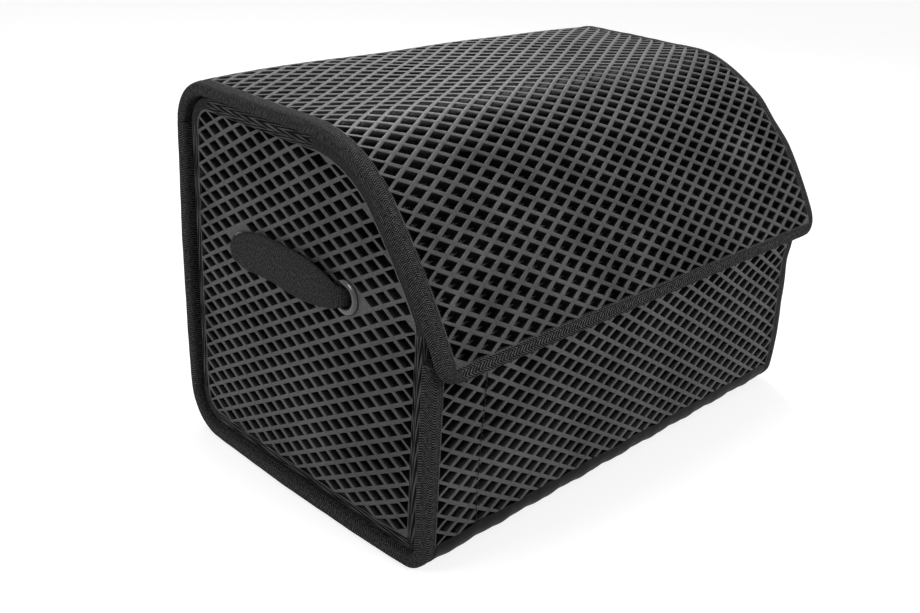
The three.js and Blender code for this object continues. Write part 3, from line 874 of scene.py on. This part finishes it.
def makeHandle(side):
    name = "right" if side > 0 else "left"
    faceX = side * (box["side"] - box["endSetback"])
    eyelets = [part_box(f"{name}_{end}_eyelet") for end in ("front", "rear")]
    places = [(Vector(low) + Vector(high)) / 2 for low, high in eyelets]
    middle = (places[0] + places[1]) / 2
    count, around = strap["count"], strap["around"]
    rows, length = smoothRows(strapRows, count)
    root = Vector(strap["root"]) * mm
    across = Vector((-strap["rootDirection"][1], strap["rootDirection"][0])).normalized()

    def place(i, j):
        along, height, sideways, wide, thick = rows[i]
        before, after = rows[max(i - 1, 0)], rows[min(i + 1, count)]
        tangent = Vector((after[0] - before[0], after[1] - before[1])).normalized()
        outward = Vector((-tangent.y, tangent.x))
        angle = tau * j / around
        flat = smoothStep(13 * mm, 30 * mm, wide) * (height > 0)
        pleat = 1 + 0.14 * (1 - flat) * cos(5 * angle)
        reach = cos(angle) * wide / 2 * pleat
        square = abs(sin(angle)) ** 0.6 * (1 if sin(angle) > 0 else -1)
        lift = square * thick / 2 * pleat - strap["curl"] * flat * cos(angle) ** 2
        lift += flat * 0.5 * mm * sin(90 * along + 40 * reach)
        beyond = (Vector((along, sideways + reach)) - root).dot(across)
        lift -= strap["rootDrop"] * flat * smoothStep(-2 * mm, 3 * mm, beyond)
        point = Vector((along, height)) + outward * lift
        return Vector((faceX + side * point.y, middle.y + point.x, middle.z + sideways + reach))

    bm = band(count, around, place, (length, 70 * mm), False)
    finishPiece(f"{name}_strap", bm, "box", [webbing], [f"{name}_handle"], angle=60)


for sideName, side in (("left", -1), ("right", 1)):
    for end in ("front", "rear"):
        spot = f"{sideName}_{end}"
        makeRing(f"{spot}_ring", eyeletProfile, f"{spot}_eyelet", enamel)
        makeRing(f"{spot}_backing", washerProfile, f"{spot}_washer", plating)
    makeHandle(side)
print("handles made")


# Camera, floor and light
viewpoint = {"azimuth": -46.38, "elevation": 24.25, "roll": 3.24, "place": (-0.7233, -0.6211, 0.5282),
             "lens": 43.04}


def makeCamera():
    data = bpy.data.cameras.new("camera")
    data.lens = viewpoint["lens"]
    data.sensor_width = 36
    camera = bpy.data.objects.new("camera", data)
    bpy.context.scene.collection.objects.link(camera)
    a, e = radians(viewpoint["azimuth"]), radians(viewpoint["elevation"])
    back = Vector((sin(a) * cos(e), -cos(a) * cos(e), sin(e)))
    turn = back.to_track_quat("Z", "Y") @ Quaternion((0, 0, 1), radians(viewpoint["roll"]))
    camera.location = viewpoint["place"]
    camera.rotation_mode = "QUATERNION"
    camera.rotation_quaternion = turn
    bpy.context.scene.camera = camera


lamps = {
    "top": {"place": (0.15, 0.35, 1.5), "aim": (0, 0, 0.25), "size": 0.9, "power": 13},
    "front": {"place": (-0.1, -1.7, 1.15), "aim": (0, 0, 0.15), "size": 0.6, "power": 16},
    "left": {"place": (-1.75, 0.35, 1.0), "aim": (-0.2, 0, 0.15), "size": 0.6, "power": 12},
    "glint": {"place": (1.0, 1.0, 1.3), "aim": (0, 0, 0.25), "size": 0.3, "power": 6},
}


worldLight = 0.28


# One where the background shows: to the camera, in reflections and through glass
def seenDirectly(nodes, links):
    path = nodes.new("ShaderNodeLightPath")
    total = path.outputs["Is Camera Ray"]
    for kind in ("Is Glossy Ray", "Is Transmission Ray"):
        add = addNode(nodes, "ShaderNodeMath", {"operation": "MAXIMUM"})
        links.new(total, add.inputs[0])
        links.new(path.outputs[kind], add.inputs[1])
        total = add.outputs[0]
    return total


def makeLights():
    for name, lamp in lamps.items():
        data = bpy.data.lights.new(name, "AREA")
        data.shape = "DISK"
        data.size = lamp["size"]
        data.energy = lamp["power"]
        light = bpy.data.objects.new(name, data)
        bpy.context.scene.collection.objects.link(light)
        light.location = lamp["place"]
        aim = Vector(lamp["place"]) - Vector(lamp["aim"])
        light.rotation_mode = "QUATERNION"
        light.rotation_quaternion = aim.to_track_quat("Z", "Y")
    world = bpy.data.worlds.new("studio")
    bpy.context.scene.world = world
    world.use_nodes = True
    nodes, links = world.node_tree.nodes, world.node_tree.links
    background = nodes["Background"]
    background.inputs["Color"].default_value = (1, 1, 1, 1)
    strength = addNode(nodes, "ShaderNodeMapRange", To_Min=worldLight, To_Max=1.0)
    links.new(seenDirectly(nodes, links), strength.inputs["Value"])
    links.new(strength.outputs["Result"], background.inputs["Strength"])


def makeFloor():
    bm = bmesh.new()
    bmesh.ops.create_grid(bm, x_segments=2, y_segments=2, size=6)
    mesh = bpy.data.meshes.new("floor")
    bm.to_mesh(mesh)
    bm.free()
    floor = bpy.data.objects.new("floor", mesh)
    bpy.context.scene.collection.objects.link(floor)
    floor.location.z = -0.6 * mm
    material, nodes, links, shader = newMaterial("white floor")
    shader.inputs["Base Color"].default_value = (0.4, 0.4, 0.4, 1)
    shader.inputs["Roughness"].default_value = 0.8
    shader.inputs["Emission Color"].default_value = (1, 1, 1, 1)
    glow = addNode(nodes, "ShaderNodeMapRange", To_Min=0.0, To_Max=0.75)
    links.new(seenDirectly(nodes, links), glow.inputs["Value"])
    links.new(glow.outputs["Result"], shader.inputs["Emission Strength"])
    mesh.materials.append(material)


makeCamera()
makeLights()
makeFloor()
bpy.context.scene.view_settings.view_transform = "Standard"
print("camera, lights and floor made")
